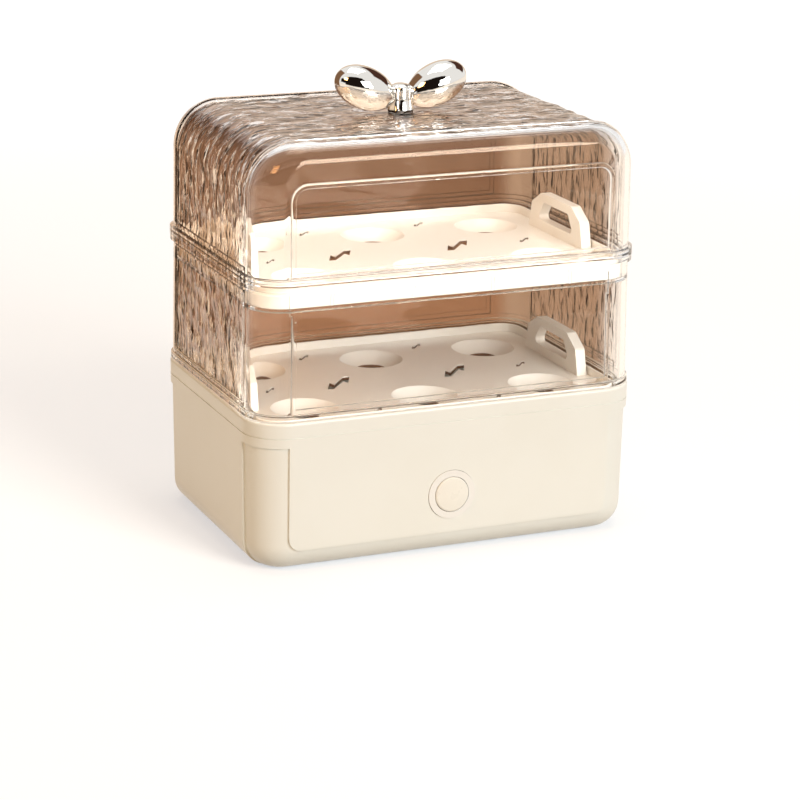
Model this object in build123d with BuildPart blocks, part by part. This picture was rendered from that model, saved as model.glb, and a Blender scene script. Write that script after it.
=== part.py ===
from build123d import *
from math import cos, radians, sin, sqrt, tan
import os

# A two-tier electric egg cooker, in millimetres.
# The origin is the middle of the footprint on the table, +Z is up, and the button faces -Y.
# From the table up: base, lower egg tray, clear steam ring, upper egg tray, clear lid with its bow.

os.makedirs("parts", exist_ok=True)

# Plan of the clear walls, measured at the joint between ring and lid
clear_width = 182.0
clear_depth = 126.0
corner_radius = 15.8
clear_wall = 2.4
draft = 0.7  # degrees by which every tall wall leans

# Heights of the stack
foot_proud = 0.6
seam_height = 63.4
band_height = 6.6
ring_height = 60.0
lid_height = 60.3
lid_top_radius = 21.0

# Outside of the base
base_step = 0.75  # how far the base stands out past the clear wall
panel_proud = 1.1
front_panel_margin = 14.0
front_panel_bottom = 11.2
front_panel_corner = 6.0
recess_top = 58.8
seam_groove = 0.5  # width and depth of the shadow line under the band
bottom_radius = 12.5
band_edge = 1.2

# Inside of the base shell
shell_inset = 2.0
shell_floor_ledge = 1.4
shell_top_wall = 2.2
shell_clearance = 0.4

# Bottom cover, its screws and feet
cover_margin_x = 19.4
cover_margin_y = 15.4
cover_corner = 10.0
cover_thickness = 3.0
cover_gap = 0.4
cover_lap = 3.6
screw_inset = 10.6
screw_y = 22.0
boss_radius = 4.0
cover_screw_radius = 1.45
cover_screw_length = 11.0
cover_head_radius = 2.9
cover_head_height = 1.5
cover_head_sink = 1.8
pilot_gap = 0.05
clearance_hole_gap = 0.3
foot_inset_x = 11.6
foot_inset_y = 9.6
foot_radius = 5.0
foot_recess = 0.8
foot_edge = 0.4
vent_length = 30.0
vent_width = 2.4
vent_pitch_x = 40.0
vent_pitch_y = 7.0
vent_rows = 5

# Seat for a tray, the same in the base and in the ring
lip_gap = 0.3
lip_depth = 3.0
lip_wall = 1.5
lip_overlap = 2.0
ledge_depth = 10.0
ledge_width = 2.8
ledge_thickness = 1.6

# Egg tray
tray_gap = 0.8
plate_drop = 4.0
plate_thickness = 1.8
tray_skirt_wall = 1.8
tray_edge = 0.8
cup_pitch_x = 58.0
cup_pitch_y = 63.0
cup_columns = 3
cup_rows = 2
cup_radius = 15.0
cup_hole_radius = 6.5
egg_radius = 22.0
cup_wall = 1.6
cup_base_depth = 6.2
wave_tip_x = 8.6
wave_tip_y = 8.1
wave_heel_x = 3.8
wave_heel_y = 2.0
wave_neck_x = 2.8
wave_neck_y = 1.5
wave_bend_x = 5.2
wave_bend_y = 8.3
wave_x = 29.0
small_wave_scale = 0.45
small_wave_x = 63.0
small_wave_y = 45.0
handle_margin = 9.8
handle_thickness = 4.8
handle_height = 17.7
handle_shoulder = 12.0
handle_foot_half = 28.0
handle_shoulder_half = 25.0
handle_top_half = 15.5
handle_edge = 2.0
window_bottom = 4.8
window_top = 13.6
window_bottom_half = 18.5
window_top_half = 12.5

# Steam ring and lid
flange_proud = 1.6
ring_flange = 3.0
foot_flange = 3.4
lid_flange = 3.4
groove_height = 0.6
groove_depth = 0.5
clear_panel_margin = 14.6
clear_panel_proud = 1.0
lid_panel_top = 44.2
lid_panel_corner = 7.6
rib_width = 1.4
rib_proud = 0.5
rib_height = 6.0
rib_pitch = 38.0
rib_count = 4

# Basin and heating plate
skirt_drop = 5.0
tub_wall = 2.2
basin_height = 46.0
basin_floor = 2.2
basin_edge = 3.0
plate_radius = 50.0
plate_sheet = 1.2
plate_opening = 45.0
plate_opening_gap = 1.6
plate_dish_depth = 1.5
gasket_thickness = 0.8
gasket_width = 4.2
gasket_inset = 0.4
clamp_inner = 34.5
clamp_outer = 51.0
clamp_thickness = 1.5
stud_ring_radius = 39.0
stud_radius = 2.0
stud_count = 4
stud_hole_gap = 0.2
stud_tip = 0.6
nut_flat = 3.5
nut_height = 3.2

# Element, thermostat and fuse
element_ring_radius = 26.0
element_radius = 3.3
element_flat = 0.15
element_gap_half = 30.0  # degrees each side of the front
element_leg = 7.0
element_pin_radius = 1.2
element_pin_length = 5.0
thermostat_radius = 8.0
thermostat_cap_radius = 8.5
thermostat_cap = 1.5
thermostat_height = 9.0
tab_width = 6.0
tab_thickness = 0.8
tab_length = 6.3
tab_y = 7.2
strap_thickness = 1.0
strap_width = 11.0
strap_leg_x = 33.0
strap_half = 44.0
fuse_radius = 2.2
fuse_length = 12.0
fuse_lead_radius = 0.5
fuse_inner_lead = 6.0
fuse_outer_lead = 4.0
fuse_drop = 3.3

# Button and what is behind it
button_height = 29.1
button_radius = 8.0
button_gap = 0.25
button_stand = 3.0
button_dome = 0.5
button_edge = 0.5
button_face_wall = 2.2
button_depth = 7.1
button_skirt_wall = 1.0
button_travel = 1.5
button_stop_gap = 0.4
light_ring_radius = 11.2
light_ring_stand = 1.9
light_ring_hole_gap = 0.15
light_flange_radius = 13.4
light_flange = 1.4
light_tube_wall = 1.4
shoulder_thickness = 1.2
stem_radius = 2.6
stem_gap = 0.4
clip_radius = 4.6
clip_thickness = 0.7
clip_groove_radius = 2.0
clip_play = 0.25
clip_slack = 0.05
spring_wire = 0.35
spring_mean_radius = 5.2
spring_turns = 4
board_setback = 16.0
board_width = 46.0
board_height = 21.0
board_thickness = 1.6
board_screw_x = 19.0
board_post_radius = 3.0
board_screw_radius = 1.05
board_screw_length = 9.6
board_head_radius = 2.6
board_head_height = 1.8
switch_side = 10.4
switch_depth = 4.5
plunger_radius = 1.75
plunger_gap = 0.15
plunger_bury = 1.7
plunger_spare = 0.3
lamp_width = 2.0
lamp_height = 3.2
lamp_depth = 1.9
lamp_notch_gap = 0.3

# Rear wall and wiring
gland_margin = 46.0
gland_height = 24.0
gland_bore_radius = 3.3
gland_neck_radius = 5.6
gland_neck_gap = 0.15
gland_flange_radius = 8.0
gland_flange = 2.0
gland_seat_stand = 1.0
gland_seat_gap = 0.2
gland_edge = 0.6
gland_nut_flat = 7.0
gland_nut_height = 3.0
gland_tail = 1.0
block_inset = 13.6
block_length = 32.0
block_width = 14.0
block_height = 12.0
block_pitch = 9.0
block_ways = 3
block_hole_height = 4.5
block_hole_radius = 1.6
block_hole_depth = 6.0
block_well_radius = 2.3
block_well_depth = 5.0
block_screw_radius = 2.1
block_screw_height = 3.0
wire_radius = 1.2
wire_bury = 3.0
wire_bend = 6.0
wire_run = 15.0
wire_lay = 6.4
wire_climb = 11.0
board_wire_x = 15.0
board_wire_drop = 5.0

# Bow handle
boss_pad_radius = 7.0
boss_pad_height = 0.7
lobe_length = 15.5
lobe_radius = 9.3
lobe_tilt = 24.0
lobe_x = 17.1
lobe_rise = 10.4
knot_foot_radius = 6.0
knot_waist_radius = 5.2
knot_top_radius = 5.6
knot_waist_rise = 5.5
knot_top_rise = 9.0
knot_height = 11.6
handle_screw_radius = 1.4
handle_screw_gap = 0.1
handle_screw_reach = 8.0
handle_head_radius = 3.0
handle_head_height = 2.0
handle_hole_radius = 1.7
washer_radius = 5.0
washer_thickness = 0.8

# Levels and offsets that follow from the sizes above
front_panel_half = clear_width / 2 - front_panel_margin
clear_panel_half = clear_width / 2 - clear_panel_margin
handle_x = clear_width / 2 - handle_margin
cover_width = clear_width - 2 * cover_margin_x
cover_depth = clear_depth - 2 * cover_margin_y
screw_x = cover_width / 2 - screw_inset
foot_x = cover_width / 2 - foot_inset_x
foot_y = cover_depth / 2 - foot_inset_y
button_face = clear_depth / 2 + button_stand
light_ring_face = clear_depth / 2 + light_ring_stand
board_front = clear_depth / 2 - board_setback
gland_x = clear_width / 2 - gland_margin
gland_seat = clear_depth / 2 + gland_seat_stand
block_y = cover_depth / 2 - block_inset
base_top = seam_height + band_height
joint_height = base_top + ring_height
lid_top = joint_height + lid_height
core_grow = base_step
full_grow = base_step + panel_proud
wall_half_depth = clear_depth / 2 - shell_inset
shell_floor = foot_proud + cover_thickness
cavity_floor = shell_floor + shell_floor_ledge
opening_grow = -clear_wall
ledge_grow = opening_grow - ledge_width + 0.2
skirt_grow = full_grow - shell_top_wall - shell_clearance
skirt_bottom = seam_height - skirt_drop
tub_underside = basin_height - basin_floor
cover_top = shell_floor
plate_bottom = basin_height + gasket_thickness
plate_underside = plate_bottom - plate_dish_depth
clamp_bottom = tub_underside - clamp_thickness
wall_lean = tan(radians(draft))
cup_centres = [
    ((column - (cup_columns - 1) / 2) * cup_pitch_x, (row - (cup_rows - 1) / 2) * cup_pitch_y)
    for column in range(cup_columns)
    for row in range(cup_rows)
]
screw_points = [(x, y) for x in (-screw_x, screw_x) for y in (-screw_y, screw_y)]
foot_points = [(x, y) for x in (-foot_x, foot_x) for y in (-foot_y, foot_y)]


def plan(grow, mode=Mode.ADD):
    """Rounded rectangle of the cooker's plan, moved out from the clear wall by grow."""
    return RectangleRounded(clear_width + 2 * grow, clear_depth + 2 * grow, corner_radius + grow, mode=mode)


def prism(bottom, top, grow, hollow=None):
    """Upright wall between two levels, with an inner outline when hollow is given."""
    with BuildPart() as wall:
        with BuildSketch(Plane.XY.offset(bottom)):
            plan(grow)
            if hollow is not None:
                plan(hollow, mode=Mode.SUBTRACT)
        extrude(amount=top - bottom)
    return wall.part


def save(builder, name):
    """Name a finished piece and write it to its own file."""
    builder.part.label = name
    export_step(builder.part, f"parts/{name}.step")


def base_body(grow):
    """Outer form of the base below the seam: leaning walls and a rounded lower edge."""
    with BuildPart() as body:
        with BuildSketch(Plane.XY.offset(seam_height)):
            plan(grow)
        extrude(amount=-(seam_height - foot_proud), taper=draft)
        fillet(body.faces().sort_by(Axis.Z)[0].edges(), radius=bottom_radius)
    return body.part


# Base shell: core walls, with the panels and the strip under the seam standing proud of them
with BuildPart() as raised_zones:
    with BuildSketch(Plane.XZ) as front_zone:
        with Locations((0, front_panel_bottom)):
            Rectangle(2 * front_panel_half, seam_height - front_panel_bottom, align=(Align.CENTER, Align.MIN))
        fillet(front_zone.vertices().group_by(Axis.Y)[0], radius=front_panel_corner)
    extrude(amount=clear_depth, both=True)
    with BuildSketch(Plane.YZ):
        Rectangle(clear_depth - 2 * corner_radius, seam_height, align=(Align.CENTER, Align.MIN))
    extrude(amount=clear_width, both=True)
    add(prism(recess_top, seam_height, full_grow + panel_proud))
    add(base_body(full_grow), mode=Mode.INTERSECT)

with BuildPart() as cavity:
    with BuildSketch(Plane.XY.offset(cavity_floor)):
        plan(-shell_inset)
    extrude(amount=seam_height - cavity_floor)
    fillet(cavity.faces().sort_by(Axis.Z)[0].edges(), radius=bottom_radius - shell_inset)
    add(prism(skirt_bottom - shell_clearance, seam_height, full_grow - shell_top_wall))

with BuildPart() as base_shell:
    add(base_body(core_grow))
    add(raised_zones.part)
    add(cavity.part, mode=Mode.SUBTRACT)
    add(prism(seam_height - seam_groove, seam_height, full_grow + panel_proud, full_grow - seam_groove),
        mode=Mode.SUBTRACT)
    with BuildSketch(Plane.XY.offset(foot_proud)):
        RectangleRounded(cover_width + 2 * cover_gap, cover_depth + 2 * cover_gap, cover_corner + cover_gap)
    extrude(amount=cover_thickness, mode=Mode.SUBTRACT)
    with BuildSketch(Plane.XY.offset(shell_floor)):
        RectangleRounded(cover_width - 2 * cover_lap, cover_depth - 2 * cover_lap, cover_corner - cover_lap)
    extrude(amount=shell_floor_ledge, mode=Mode.SUBTRACT)
    # posts for the control board, one each side of the button
    with BuildSketch(Plane.XZ.offset(board_front)):
        with Locations((-board_screw_x, button_height), (board_screw_x, button_height)):
            Circle(board_post_radius)
    extrude(amount=wall_half_depth - board_front + shell_inset / 2)
    with BuildSketch(Plane.XZ.offset(board_front)):
        with Locations((-board_screw_x, button_height), (board_screw_x, button_height)):
            Circle(board_screw_radius + pilot_gap)
    extrude(amount=board_screw_length, mode=Mode.SUBTRACT)
    # hole for the light ring, through the front wall
    with BuildSketch(Plane.XZ.offset(wall_half_depth - shell_inset)):
        with Locations((0, button_height)):
            Circle(light_ring_radius + light_ring_hole_gap)
    extrude(amount=corner_radius, mode=Mode.SUBTRACT)
    # hole for the cord gland, with a flat seat round it on the outside of the back wall
    with BuildSketch(Plane.XZ.offset(-(wall_half_depth - shell_inset))):
        with Locations((gland_x, gland_height)):
            Circle(gland_neck_radius + gland_neck_gap)
    extrude(amount=-corner_radius, mode=Mode.SUBTRACT)
    with BuildSketch(Plane.XZ.offset(-gland_seat)):
        with Locations((gland_x, gland_height)):
            Circle(gland_flange_radius + gland_seat_gap)
    extrude(amount=-corner_radius, mode=Mode.SUBTRACT)
save(base_shell, "base_shell")

# Upper housing: the band at the top of the base, and the water basin that hangs inside the shell
tub_grow = ledge_grow + tub_wall
with BuildPart() as upper_housing:
    add(prism(seam_height, base_top, full_grow))
    fillet(upper_housing.faces().sort_by(Axis.Z)[-1].edges(), radius=band_edge)
    add(prism(skirt_bottom, seam_height, skirt_grow))
    with BuildPart(mode=Mode.PRIVATE) as tub:
        add(prism(tub_underside, skirt_bottom, tub_grow))
        fillet(tub.faces().sort_by(Axis.Z)[0].edges(), radius=basin_edge + basin_floor)
    add(tub.part)
    add(prism(base_top - ledge_depth, base_top, opening_grow), mode=Mode.SUBTRACT)
    with BuildPart(mode=Mode.PRIVATE) as basin:
        add(prism(basin_height, base_top - ledge_depth, ledge_grow))
        fillet(basin.faces().sort_by(Axis.Z)[0].edges(), radius=basin_edge)
    add(basin.part, mode=Mode.SUBTRACT)
    with BuildSketch(Plane.XY.offset(cover_top)):
        with Locations(*screw_points):
            Circle(boss_radius)
    extrude(amount=tub_underside - cover_top)
    with BuildSketch(Plane.XY.offset(cover_top)):
        with Locations(*screw_points):
            Circle(cover_screw_radius + pilot_gap)
    extrude(amount=cover_screw_length + pilot_gap, mode=Mode.SUBTRACT)
    with BuildSketch(Plane.XY.offset(tub_underside)):
        Circle(plate_opening)
    extrude(amount=basin_floor, mode=Mode.SUBTRACT)
save(upper_housing, "upper_housing")

# Bottom cover: flat plate let into the shell, with vents, screw holes and recesses for the feet
with BuildPart() as bottom_cover:
    with BuildSketch(Plane.XY.offset(foot_proud)):
        RectangleRounded(cover_width, cover_depth, cover_corner)
        with Locations(*screw_points):
            Circle(cover_screw_radius + clearance_hole_gap, mode=Mode.SUBTRACT)
        with GridLocations(vent_pitch_x, vent_pitch_y, 2, vent_rows):
            SlotOverall(vent_length, vent_width, mode=Mode.SUBTRACT)
    extrude(amount=cover_thickness)
    with BuildSketch(Plane.XY.offset(foot_proud)):
        with Locations(*screw_points):
            Circle(cover_head_radius + cover_gap)
    extrude(amount=cover_head_sink, mode=Mode.SUBTRACT)
    with BuildSketch(Plane.XY.offset(foot_proud)):
        with Locations(*foot_points):
            Circle(foot_radius + lip_gap)
    extrude(amount=foot_recess, mode=Mode.SUBTRACT)
save(bottom_cover, "bottom_cover")

with BuildPart() as cover_screws:
    with BuildSketch(Plane.XY.offset(foot_proud + cover_head_sink)):
        with Locations(*screw_points):
            Circle(cover_head_radius)
    extrude(amount=-cover_head_height)
    with BuildSketch(Plane.XY.offset(foot_proud + cover_head_sink)):
        with Locations(*screw_points):
            Circle(cover_screw_radius)
    extrude(amount=cover_thickness - cover_head_sink + cover_screw_length)
save(cover_screws, "cover_screws")

with BuildPart() as feet:
    with BuildSketch():
        with Locations(*foot_points):
            Circle(foot_radius)
    extrude(amount=foot_proud + foot_recess)
    chamfer(feet.faces().filter_by(Axis.Z).group_by(Axis.Z)[0].edges(), length=foot_edge)
save(feet, "feet")

# Heating plate: a shallow dish whose rim lies on a gasket round the opening in the basin floor
dish_radius = plate_opening - plate_opening_gap
with BuildPart() as heating_plate:
    with BuildSketch(Plane.XY.offset(plate_bottom)):
        Circle(plate_radius)
    extrude(amount=plate_sheet)
    with BuildSketch(Plane.XY.offset(plate_underside)):
        Circle(dish_radius)
    extrude(amount=plate_dish_depth)
    with BuildSketch(Plane.XY.offset(plate_underside + plate_sheet)):
        Circle(dish_radius - plate_sheet)
    extrude(amount=plate_dish_depth, mode=Mode.SUBTRACT)
save(heating_plate, "heating_plate")

with BuildPart() as plate_gasket:
    with BuildSketch(Plane.XY.offset(basin_height)):
        Circle(plate_opening + gasket_inset + gasket_width)
        Circle(plate_opening + gasket_inset, mode=Mode.SUBTRACT)
    extrude(amount=gasket_thickness)
save(plate_gasket, "plate_gasket")

with BuildPart() as clamp_ring:
    with BuildSketch(Plane.XY.offset(clamp_bottom)):
        Circle(clamp_outer)
        Circle(clamp_inner, mode=Mode.SUBTRACT)
        with PolarLocations(stud_ring_radius, stud_count):
            Circle(stud_radius + stud_hole_gap, mode=Mode.SUBTRACT)
    extrude(amount=clamp_thickness)
save(clamp_ring, "clamp_ring")

stud_bottom = clamp_bottom - strap_thickness - nut_height - stud_tip
with BuildPart() as clamp_studs:
    with BuildSketch(Plane.XY.offset(stud_bottom)):
        with PolarLocations(stud_ring_radius, stud_count):
            Circle(stud_radius)
    extrude(amount=plate_underside - stud_bottom)
save(clamp_studs, "clamp_studs")

# The two nuts on the X axis hold the thermostat strap as well, so they sit lower by its thickness
with BuildPart() as clamp_nuts:
    for turn in range(stud_count):
        angle = 360 / stud_count * turn
        drop = strap_thickness if turn % 2 == 0 else 0
        with BuildSketch(Plane.XY.offset(clamp_bottom - drop)):
            with PolarLocations(stud_ring_radius, 1, start_angle=angle):
                RegularPolygon(nut_flat, 6, major_radius=False)
                Circle(stud_radius + pilot_gap, mode=Mode.SUBTRACT)
        extrude(amount=-nut_height)
save(clamp_nuts, "clamp_nuts")

# Heating element: a round tube bent to an open ring, its two ends turned down to the pins
element_level = plate_underside - element_radius + element_flat
leg_bottom = element_level - element_leg
element_ends = [
    (element_ring_radius * sin(radians(side * element_gap_half)),
     -element_ring_radius * cos(radians(element_gap_half)))
    for side in (-1, 1)
]
with BuildPart() as heating_element:
    first_plane = Plane(
        origin=(element_ends[1][0], element_ends[1][1], element_level),
        x_dir=(sin(radians(element_gap_half)), -cos(radians(element_gap_half)), 0),
        z_dir=(cos(radians(element_gap_half)), sin(radians(element_gap_half)), 0),
    )
    with BuildSketch(first_plane):
        Circle(element_radius)
    revolve(axis=Axis.Z, revolution_arc=360 - 2 * element_gap_half)
    with Locations(*[(x, y, element_level) for x, y in element_ends]):
        Sphere(element_radius)
    with BuildSketch(Plane.XY.offset(leg_bottom)):
        with Locations(*element_ends):
            Circle(element_radius)
    extrude(amount=element_leg)
    with BuildSketch(Plane.XY.offset(leg_bottom - element_pin_length)):
        with Locations(*element_ends):
            Circle(element_pin_radius)
    extrude(amount=element_pin_length)
    split(bisect_by=Plane.XY.offset(plate_underside), keep=Keep.BOTTOM)
save(heating_element, "heating_element")

# Thermostat: a round disc switch pressed against the middle of the plate by a steel strap
thermostat_bottom = plate_underside - thermostat_height
with BuildPart() as thermostat:
    with BuildSketch(Plane.XY.offset(thermostat_bottom)):
        Circle(thermostat_radius)
    extrude(amount=thermostat_height - thermostat_cap)
    with BuildSketch(Plane.XY.offset(plate_underside - thermostat_cap)):
        Circle(thermostat_cap_radius)
    extrude(amount=thermostat_cap)
    with BuildSketch(Plane.XY.offset(thermostat_bottom - tab_length)):
        with Locations((0, -tab_y), (0, tab_y)):
            Rectangle(tab_width, tab_thickness)
    extrude(amount=tab_length)
save(thermostat, "thermostat")

with BuildPart() as thermostat_strap:
    with BuildSketch(Plane.XZ) as strap_profile:
        with BuildLine():
            Polyline(
                (-strap_half, clamp_bottom - strap_thickness),
                (-strap_leg_x, clamp_bottom - strap_thickness),
                (-strap_leg_x, thermostat_bottom - strap_thickness),
                (strap_leg_x, thermostat_bottom - strap_thickness),
                (strap_leg_x, clamp_bottom - strap_thickness),
                (strap_half, clamp_bottom - strap_thickness),
                (strap_half, clamp_bottom),
                (strap_leg_x - strap_thickness, clamp_bottom),
                (strap_leg_x - strap_thickness, thermostat_bottom),
                (-strap_leg_x + strap_thickness, thermostat_bottom),
                (-strap_leg_x + strap_thickness, clamp_bottom),
                (-strap_half, clamp_bottom),
                close=True,
            )
        make_face()
    extrude(amount=strap_width / 2, both=True)
    with BuildSketch(Plane.XY.offset(clamp_bottom)):
        with PolarLocations(stud_ring_radius, 2):
            Circle(stud_radius + stud_hole_gap)
    extrude(amount=-2 * strap_thickness, mode=Mode.SUBTRACT)
save(thermostat_strap, "thermostat_strap")

# Thermal fuse: a small can whose inner lead is welded to one tab of the thermostat
fuse_level = thermostat_bottom - fuse_drop
fuse_start = tab_width / 2
fuse_body_start = fuse_start + fuse_inner_lead
fuse_end = fuse_body_start + fuse_length + fuse_outer_lead
with BuildPart() as thermal_fuse:
    with BuildSketch(Plane.YZ.offset(fuse_start)):
        with Locations((tab_y, fuse_level)):
            Circle(fuse_lead_radius)
    extrude(amount=fuse_end - fuse_start)
    with BuildSketch(Plane.YZ.offset(fuse_body_start)):
        with Locations((tab_y, fuse_level)):
            Circle(fuse_radius)
    extrude(amount=fuse_length)
save(thermal_fuse, "thermal_fuse")


def button_disc(front, rear, radius, hole=0.0):
    """Round slab on the button's axis between two distances in front of the middle plane."""
    with BuildPart() as slab:
        with BuildSketch(Plane.XZ.offset(rear)):
            with Locations((0, button_height)):
                Circle(radius)
                if hole > 0:
                    Circle(hole, mode=Mode.SUBTRACT)
        extrude(amount=front - rear)
    return slab.part


# Light ring: a milky tube that shows as a ring round the button and leads light from the board
bore_radius = button_radius + button_gap
tube_radius = bore_radius + light_tube_wall
skirt_rear = button_face - button_depth
shoulder_front = skirt_rear - button_travel - button_stop_gap
shoulder_rear = shoulder_front - shoulder_thickness
with BuildPart() as light_ring:
    add(button_disc(light_ring_face, wall_half_depth, light_ring_radius, bore_radius))
    add(button_disc(wall_half_depth, wall_half_depth - light_flange, light_flange_radius, bore_radius))
    add(button_disc(wall_half_depth - light_flange, board_front, tube_radius, bore_radius))
    add(button_disc(shoulder_front, shoulder_rear, bore_radius + light_tube_wall / 2, stem_radius + stem_gap))
    with BuildSketch(Plane.XZ.offset(board_front)):
        with Locations((0, button_height)):
            Rectangle(2 * tube_radius + light_tube_wall, lamp_height + 2 * lamp_notch_gap)
    extrude(amount=lamp_depth + lamp_notch_gap, mode=Mode.SUBTRACT)
save(light_ring, "light_ring")

# Button cap: domed face, short skirt that slides in the light ring, and a stem that works the switch
stem_end = board_front + switch_depth + button_travel + button_stop_gap
clip_front = shoulder_rear - clip_play
face_back = button_face - button_dome - button_face_wall
with BuildPart() as button_cap:
    with BuildSketch(Plane.YZ):
        with BuildLine():
            face_edge = (-(button_face - button_dome), button_height + button_radius - button_edge)
            side_edge = (-(button_face - button_dome - button_edge), button_height + button_radius)
            ThreePointArc(
                (-button_face, button_height),
                (-(button_face - button_dome / 4), button_height + (button_radius - button_edge) / 2),
                face_edge,
            )
            Line(face_edge, side_edge)
            Polyline(
                side_edge,
                (-skirt_rear, button_height + button_radius),
                (-skirt_rear, button_height + button_radius - button_skirt_wall),
                (-face_back, button_height + button_radius - button_skirt_wall),
                (-face_back, button_height + stem_radius),
                (-clip_front, button_height + stem_radius),
                (-clip_front, button_height + clip_groove_radius),
                (-(clip_front - clip_thickness - 2 * clip_slack), button_height + clip_groove_radius),
                (-(clip_front - clip_thickness - 2 * clip_slack), button_height + stem_radius),
                (-stem_end, button_height + stem_radius),
                (-stem_end, button_height),
                (-button_face, button_height),
            )
        make_face()
    revolve(axis=Axis((0, 0, button_height), (0, 1, 0)))
save(button_cap, "button_cap")

with BuildPart() as stem_clip:
    add(button_disc(clip_front - clip_slack, clip_front - clip_slack - clip_thickness, clip_radius,
                    clip_groove_radius + clip_slack))
    with BuildSketch(Plane.XZ.offset(clip_front - clip_slack - clip_thickness)):
        with Locations((0, button_height)):
            Rectangle(2 * clip_groove_radius, clip_radius, align=(Align.CENTER, Align.MAX))
    extrude(amount=clip_thickness, mode=Mode.SUBTRACT)
save(stem_clip, "stem_clip")

# Return spring: round wire wound between the back of the cap's face and the shoulder in the ring
spring_front = face_back - spring_wire
spring_rear = shoulder_front + spring_wire
with BuildPart() as return_spring:
    with BuildLine() as spring_path:
        Helix(
            pitch=(spring_front - spring_rear) / spring_turns,
            height=spring_front - spring_rear,
            radius=spring_mean_radius,
            center=(0, -spring_front, button_height),
            direction=(0, 1, 0),
        )
    with BuildSketch(Plane(origin=spring_path.line @ 0, z_dir=spring_path.line % 0)):
        Circle(spring_wire)
    sweep(is_frenet=True)
save(return_spring, "return_spring")

# Control board with its push switch and two lamps, screwed to the posts of the shell
with BuildPart() as control_board:
    with BuildSketch(Plane.XZ.offset(board_front - board_thickness)):
        with Locations((0, button_height)):
            Rectangle(board_width, board_height)
        with Locations((-board_screw_x, button_height), (board_screw_x, button_height)):
            Circle(board_screw_radius + clearance_hole_gap, mode=Mode.SUBTRACT)
    extrude(amount=board_thickness)
save(control_board, "control_board")

with BuildPart() as board_screws:
    with BuildSketch(Plane.XZ.offset(board_front - board_thickness)):
        with Locations((-board_screw_x, button_height), (board_screw_x, button_height)):
            Circle(board_head_radius)
    extrude(amount=-board_head_height)
    with BuildSketch(Plane.XZ.offset(board_front - board_thickness)):
        with Locations((-board_screw_x, button_height), (board_screw_x, button_height)):
            Circle(board_screw_radius)
    extrude(amount=board_screw_length)
save(board_screws, "board_screws")

plunger_rear = board_front + switch_depth - plunger_bury
with BuildPart() as push_switch:
    with BuildSketch(Plane.XZ.offset(board_front)):
        with Locations((0, button_height)):
            Rectangle(switch_side, switch_side)
    extrude(amount=switch_depth)
    add(
        button_disc(board_front + switch_depth, plunger_rear - button_travel - plunger_spare,
                    plunger_radius + plunger_gap),
        mode=Mode.SUBTRACT,
    )
save(push_switch, "push_switch")

with BuildPart() as switch_plunger:
    add(button_disc(stem_end, plunger_rear, plunger_radius))
save(switch_plunger, "switch_plunger")

with BuildPart() as indicator_lamps:
    with BuildSketch(Plane.XZ.offset(board_front)):
        with Locations((-(bore_radius + light_tube_wall / 2), button_height),
                       (bore_radius + light_tube_wall / 2, button_height)):
            Rectangle(lamp_width, lamp_height)
    extrude(amount=lamp_depth)
save(indicator_lamps, "indicator_lamps")

# Cord gland in the back wall, with its nut inside
gland_end = wall_half_depth - gland_nut_height - gland_tail
gland_face = gland_seat + gland_flange
with BuildPart() as cord_gland:
    with BuildSketch(Plane.XZ.offset(-gland_seat)):
        with Locations((gland_x, gland_height)):
            Circle(gland_flange_radius)
    extrude(amount=-gland_flange)
    fillet(cord_gland.faces().sort_by(Axis.Y)[-1].edges(), radius=gland_edge)
    with BuildSketch(Plane.XZ.offset(-gland_end)):
        with Locations((gland_x, gland_height)):
            Circle(gland_neck_radius)
    extrude(amount=-(gland_seat - gland_end))
    with BuildSketch(Plane.XZ.offset(-gland_end)):
        with Locations((gland_x, gland_height)):
            Circle(gland_bore_radius)
    extrude(amount=-(gland_face - gland_end), mode=Mode.SUBTRACT)
save(cord_gland, "cord_gland")

with BuildPart() as gland_nut:
    with BuildSketch(Plane.XZ.offset(-(wall_half_depth - gland_nut_height))):
        with Locations((gland_x, gland_height)):
            RegularPolygon(gland_nut_flat, 6, major_radius=False)
            Circle(gland_neck_radius + pilot_gap, mode=Mode.SUBTRACT)
    extrude(amount=-gland_nut_height)
save(gland_nut, "gland_nut")

# Terminal block on the bottom cover: a row of screwed ways, open to the front
block_front = block_y - block_width / 2
block_hole_level = cover_top + block_hole_height
block_top = cover_top + block_height
with BuildPart() as terminal_block:
    with BuildSketch(Plane.XY.offset(cover_top)):
        with Locations((0, block_y)):
            Rectangle(block_length, block_width)
    extrude(amount=block_height)
    with BuildSketch(Plane.XZ.offset(-block_front)):
        with Locations((0, block_hole_level)):
            with GridLocations(block_pitch, 0, block_ways, 1):
                Circle(block_hole_radius)
    extrude(amount=-block_hole_depth, mode=Mode.SUBTRACT)
    with BuildSketch(Plane.XY.offset(block_top)):
        with Locations((0, block_y)):
            with GridLocations(block_pitch, 0, block_ways, 1):
                Circle(block_well_radius)
    extrude(amount=-block_well_depth, mode=Mode.SUBTRACT)
save(terminal_block, "terminal_block")

with BuildPart() as terminal_screws:
    with BuildSketch(Plane.XY.offset(block_top - block_well_depth)):
        with Locations((0, block_y)):
            with GridLocations(block_pitch, 0, block_ways, 1):
                Circle(block_screw_radius)
    extrude(amount=block_screw_height)
save(terminal_screws, "terminal_screws")


def wire(name, points):
    """Insulated wire along straight runs joined by tangent arcs."""
    with BuildPart() as lead:
        with BuildLine() as route:
            FilletPolyline(*points, radius=wire_bend)
        with BuildSketch(Plane(origin=route.line @ 0, z_dir=route.line % 0)):
            Circle(wire_radius)
        sweep()
    save(lead, name)


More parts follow.
